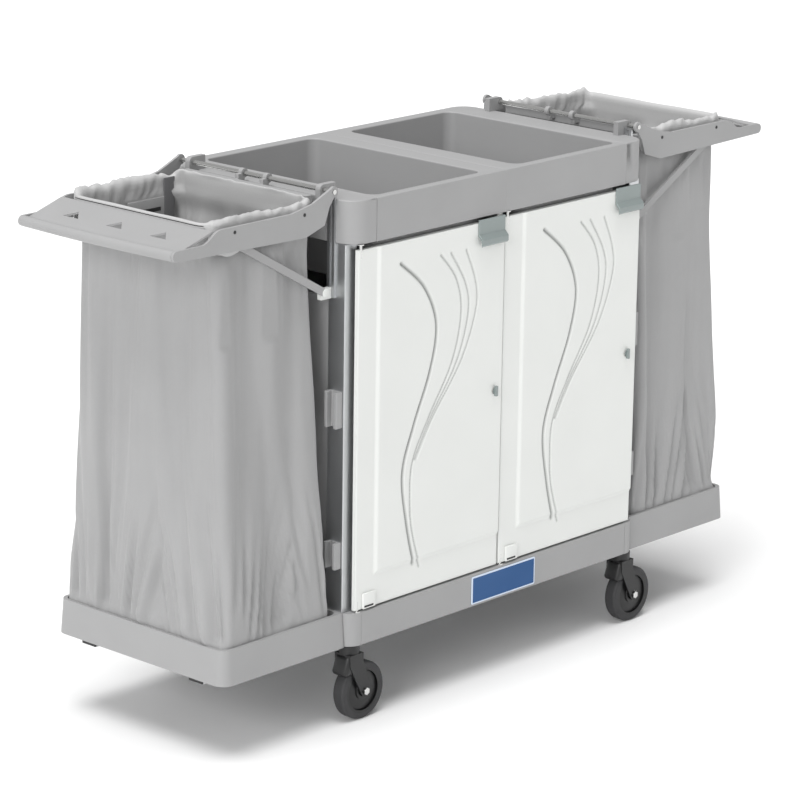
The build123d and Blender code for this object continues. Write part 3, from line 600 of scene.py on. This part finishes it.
def hem_points(side, sign, seed):
    """The rows of the gathered hem over the ring."""
    low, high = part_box(f"bag_ring_{side}")
    rows = []
    for row, choices in enumerate(HEM_ROWS):
        loop = rounded_loop((low.x, high.x), high.y, HEM_CORNER)
        points = []
        for index, (place, out) in enumerate(loop):
            tucked = smooth_step((out.x * sign - 0.45) / 0.4)
            leaning = smooth_step((-out.x * sign - 0.45) / 0.4)
            free = 1.0 - tucked - leaning
            outward = sum(w * c[0] for w, c in zip((free, tucked, leaning), choices))
            height = sum(w * c[1] for w, c in zip((free, tucked, leaning), choices))
            around = index / BAG_AROUND * 4.0
            gather = wrinkle(around * 22.0, row * 0.16, seed)
            slow = wrinkle(around * 4.0, row * 0.12, seed + 5.0)
            on_top = 1.0 - smooth_step(abs(row - MIDDLE_ROW) / HALF_ROWS)
            height += free * (0.0040 * gather + 0.0060 * slow + 0.005) * on_top
            height += leaning * 0.0012 * gather * on_top + tucked * 0.0006 * slow * on_top
            if row < HANGING_ROWS:
                near_plate = smooth_step((abs(place.x) - abs(low.x + high.x) / 2) / 0.12)
                drop = (0.020 + 0.008 * slow) * (HANGING_ROWS - row) / HANGING_ROWS
                height -= free * near_plate * drop
            outward += free * 0.0034 * gather * (1.0 if row >= FIRST_INSIDE_ROW else -0.6)
            outward += leaning * 0.0016 * slow * (row > FIRST_INSIDE_ROW)
            point = place + out * min(outward, SIDE_REACH) + Vector((0.0, 0.0, high.z + height))
            points.append(point)
        rows.append(points)
    return rows


def wall_points(side, sign, seed):
    """The rows of the wall, from under the ring to the foot in the tray."""
    ring_low, ring_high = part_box(f"bag_ring_{side}")
    low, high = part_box(f"bag_{side}")
    top, floor = ring_high.z - WALL_START, low.z + FOOT_GAP
    inner_top = ring_low.x if sign > 0 else ring_high.x
    outer_top = (ring_high.x if sign > 0 else ring_low.x) - sign * OUTER_INSET
    inner_foot, outer_foot = (low.x, high.x) if sign > 0 else (high.x, low.x)
    rows = []
    for row in range(WALL_ROWS + 1):
        down = row / WALL_ROWS
        spread = smooth_step(down / 0.05)
        inner = blend_numbers(spread, inner_top + sign * INNER_TUCK,
                              blend_numbers(down, inner_top, inner_foot))
        outer = blend_numbers(spread, outer_top - sign * OUTER_TUCK,
                              blend_numbers(down, outer_top, outer_foot))
        half_y = blend_numbers(spread, ring_high.y - SIDE_TUCK,
                               blend_numbers(down, ring_high.y - SIDE_INSET, high.y))
        corner = blend_numbers(down, TOP_CORNER, FOOT_CORNER)
        loop = rounded_loop((min(inner, outer), max(inner, outer)), half_y, corner)
        z = blend_numbers(down, top, floor)
        points = [place + out * (wall_fold(index, down, seed) - WALL_INSET)
                  + Vector((0.0, 0.0, z)) for index, (place, out) in enumerate(loop)]
        reach = STRUT_REACH if z > STRUT_FOOT else high.y
        for point in points:
            point.y = max(-reach, min(reach, point.y))
        rows.append(points)
    return rows


def build_bag(side, sign, seed):
    """An open bag of cloth: gathered hem over the ring, long soft folds down to the tray."""
    rows = hem_points(side, sign, seed) + wall_points(side, sign, seed)
    foot = [Vector(point) for point in rows[-1]]
    middle = sum(foot, Vector()) / len(foot)
    rows += [[point.lerp(middle, share) for point in foot] for share in BOTTOM_SHARES]
    bm = bmesh.new()
    bmesh.ops.create_circle(bm, segments=BAG_AROUND, radius=1.0, cap_ends=False)
    ring = sorted(bm.verts, key=lambda vert: math.atan2(vert.co.y, vert.co.x))
    for row, points in enumerate(rows):
        if row:
            edges = [bm.edges.get((a, b)) for a, b in zip(ring, ring[1:] + ring[:1])]
            made = bmesh.ops.extrude_edge_only(bm, edges=edges)["geom"]
            fresh = {item for item in made if isinstance(item, bmesh.types.BMVert)}
            ring = [next(edge.other_vert(vert) for edge in vert.link_edges
                         if edge.other_vert(vert) in fresh) for vert in ring]
        for vert, point in zip(ring, points):
            vert.co = point
    bmesh.ops.contextual_create(bm, geom=[bm.edges.get((a, b))
                                          for a, b in zip(ring, ring[1:] + ring[:1])])
    bag = make_piece(f"bag_{side}_cloth", bm, f"frame_{side}", LINING,
                     crease=180.0)
    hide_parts(f"bag_{side}")
    walls = bag.modifiers.new("cloth thickness", "SOLIDIFY")
    walls.thickness = CLOTH_THICKNESS
    walls.offset = 0.0
    walls.material_offset = 1
    bag.data.materials.append(CLOTH)
    squash_with_fold(bag)


def squash_with_fold(piece):
    """Gives a soft piece a mesh of its own."""
    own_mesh(piece)


# ------------------------------------------------------------------ small visible parts
HUB_DISCS = ((0.043, 0.004, 0.0095), (0.020, 0.006, 0.012))     # radius, depth, distance out
AXLE_BOLT = {"radius": 0.0086, "depth": 0.0038, "round_edge": 0.0006, "sides": 6}
FORK_LEG_FACE = 0.0226     # from the middle of the wheel
ROD_RADIUS = 0.005
SCREW_PLACES = ((0.084, 0.034), (0.278, 0.038))     # outward of the hinge rod and below it
STRUT_END_RADIUS = 0.008


def build_castor_trim(corner):
    """Nose of the fork's hood, dished hub faces and bright bolts of one castor."""
    fork_low, fork_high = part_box(f"castor_fork_{corner}")
    hub_low, hub_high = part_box(f"castor_hub_{corner}")
    axle = (hub_low + hub_high) / 2
    top = fork_high.z
    nose_x = fork_low.x
    half = 0.021
    bm = bmesh.new()
    add_block(bm, (nose_x - 0.014, axle.y - half, top - 0.046),
              (nose_x + 0.030, axle.y + half, top - 0.002), 0.009, 4)
    for vert in bm.verts:
        if vert.co.x < nose_x and vert.co.z > top - 0.020:
            vert.co.x += 0.010
    make_piece(f"castor_{corner}_hood", bm, f"castor_{corner}", BLACK)
    bm = bmesh.new()
    for sign in (-1, 1):
        for radius, depth, out in HUB_DISCS:
            add_disc(bm, Vector((axle.x, axle.y + sign * out, axle.z)), radius, depth, 0.0012)
    make_piece(f"castor_{corner}_hub_faces", bm, f"wheel_{corner}", BLACK)
    bm = bmesh.new()
    for sign in (-1, 1):
        add_disc(bm, Vector((axle.x, axle.y + sign * (FORK_LEG_FACE + 0.0016), axle.z)),
                 **AXLE_BOLT)
    make_piece(f"castor_{corner}_axle_bolts", bm, f"castor_{corner}", STEEL)


def build_arm_screws(side, sign):
    """Dark socket screws in the outer faces of the bag frame's arms."""
    low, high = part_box(f"frame_arms_{side}")
    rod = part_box("hinge_rods")[1]
    rod_x, rod_z = rod.x - ROD_RADIUS, rod.z - ROD_RADIUS
    bm = bmesh.new()
    for face in (low.y, high.y):
        for outward, drop in SCREW_PLACES:
            add_disc(bm, Vector((sign * (rod_x + outward), face, rod_z - drop)),
                     0.0036, 0.0016, 0.0003, 24)
    make_piece(f"frame_{side}_screws", bm, f"frame_{side}", BLACK)


def build_strut_caps(side, sign):
    """White end caps on the feet of the struts."""
    low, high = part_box(f"struts_{side}")
    foot_x = low.x + STRUT_END_RADIUS if sign > 0 else high.x - STRUT_END_RADIUS
    foot_z = low.z + STRUT_END_RADIUS
    bm = bmesh.new()
    for end in (low.y + 0.0035, high.y - 0.0035):
        add_disc(bm, Vector((foot_x, end, foot_z)), 0.0092, 0.0080, 0.0012)
    make_piece(f"strut_caps_{side}", bm, f"strut_pair_{side}", WHITE)


def build_bag_fittings(side, sign):
    """Inside the far wall of a bag: a patch with a dark hand slot, and a webbing strap."""
    low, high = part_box(f"bag_ring_{side}")
    wall = high.y - 0.0135
    patch_x = (low.x + high.x) / 2 - sign * 0.050
    strap_x = (low.x + high.x) / 2 - sign * 0.112
    pieces = (
        ("patch", CLOTH, patch_x, 0.054, (-0.082, -0.034), (-0.0050, -0.0024), 0.0012),
        ("hand_slot", BLACK, patch_x, 0.037, (-0.062, -0.054), (-0.0062, -0.0044), 0.0008),
        ("strap", WEBBING, strap_x, 0.015, (-0.170, 0.004), (-0.0056, -0.0022), 0.0012),
    )
    for label, material, x, half, (bottom, top), (front, back), radius in pieces:
        bm = bmesh.new()
        add_block(bm, (x - half, wall + front, high.z + bottom),
                  (x + half, wall + back, high.z + top), radius)
        piece = make_piece(f"bag_{side}_{label}", bm, f"frame_{side}", material)
        squash_with_fold(piece)


# The rounding of the edges, and the nodes that get it.
SOFTENED = {
    0.0025: ("tray_left", "tray_right", "base_frame", "base_corners"),
    0.0028: ("deck_left", "deck_right"),
    0.0018: ("deck_end_left", "deck_end_right", "corner_posts"),
    0.0012: ("frame_arms_left", "frame_arms_right", "cross_plate_left", "cross_plate_right",
             "inner_beam_left", "inner_beam_right", "struts_left", "struts_right", "rod_clips",
             "side_hooks", "door_handle_left", "door_handle_right", "strut_shoes_left",
             "strut_shoes_right", "side_panel_left", "side_panel_right", "rail_caps",
             "lock_knob_left", "lock_knob_right", "label_plate"),
    0.0015: tuple(f"castor_fork_{corner}" for corner in CORNERS),
}


# ------------------------------------------------------------------ camera, light and floor
CAMERA_ANGLES = (-47.525, 15.598, 0.836)     # azimuth, elevation and roll in degrees
CAMERA_TARGET, CAMERA_DISTANCE = (-0.0347, 0.0, 0.5630), 7.752
SURROUND_STRENGTH = 0.46
FLOOR_HALF_WIDTH = 200.0

# Each light: its name, strength, angular width in degrees and the direction it shines in.
LIGHTS = (("overhead key", 2.5, 40, (0.16, 0.02, -0.98)),
          ("left fill", 1.35, 30, (0.88, 0.26, -0.40)))


def build_camera():
    """A long lens from the front left, a little above the deck."""
    azimuth, elevation, roll = (math.radians(angle) for angle in CAMERA_ANGLES)
    back = Vector((math.sin(azimuth) * math.cos(elevation),
                   -math.cos(azimuth) * math.cos(elevation), math.sin(elevation)))
    right = Vector((math.cos(azimuth), math.sin(azimuth), 0.0))
    upward = back.cross(right)
    across = math.cos(roll) * right + math.sin(roll) * upward
    over = math.cos(roll) * upward - math.sin(roll) * right
    camera = bpy.data.objects.new("camera", bpy.data.cameras.new("camera"))
    camera.data.sensor_width = 36.0
    camera.data.lens = 161.5
    camera.data.clip_end = 60.0
    axes = Matrix((across, over, back)).transposed().to_4x4()
    camera.matrix_world = Matrix.Translation(
        Vector(CAMERA_TARGET) + back * CAMERA_DISTANCE) @ axes
    scene.collection.objects.link(camera)
    scene.camera = camera


def build_studio():
    """A white floor, an even white surround, a soft light overhead and a weaker one at the left."""
    world = bpy.data.worlds.new("white surround")
    world.use_nodes = True
    world.node_tree.nodes["Background"].inputs["Color"].default_value = (1.0, 1.0, 1.0, 1.0)
    world.node_tree.nodes["Background"].inputs["Strength"].default_value = SURROUND_STRENGTH
    scene.world = world
    scene.view_settings.view_transform = "Standard"
    for name, power, spread, shine in LIGHTS:
        light = bpy.data.lights.new(name, "SUN")
        light.energy = power
        light.angle = math.radians(spread)
        lamp = bpy.data.objects.new(name, light)
        lamp.matrix_world = Vector(shine).to_track_quat("-Z", "Y").to_matrix().to_4x4()
        scene.collection.objects.link(lamp)
    bm = bmesh.new()
    bmesh.ops.create_grid(bm, x_segments=1, y_segments=1, size=FLOOR_HALF_WIDTH)
    mesh = bpy.data.meshes.new("floor")
    bm.to_mesh(mesh)
    bm.free()
    mesh.materials.append(surface_material("pale floor", UNEVEN, {
        **two_tones((0.93, 0.93, 0.93), 0.995), "Roughness": 0.7}, bump=0.00002))
    floor = bpy.data.objects.new("floor", mesh)
    scene.collection.objects.link(floor)


# ------------------------------------------------------------------ build everything
BAG_SEEDS = {"left": 3.7, "right": 8.2}

build_camera()
build_studio()
paint_cad_nodes()
for radius, nodes in SOFTENED.items():
    for node in nodes:
        soften(node, radius)
door_trees = groove_trees()
for side, sign in SIDES:
    build_door(side, door_trees)
    build_bag(side, sign, BAG_SEEDS[side])
    build_bag_fittings(side, sign)
    build_arm_screws(side, sign)
    build_strut_caps(side, sign)
for corner in CORNERS:
    build_castor_trim(corner)
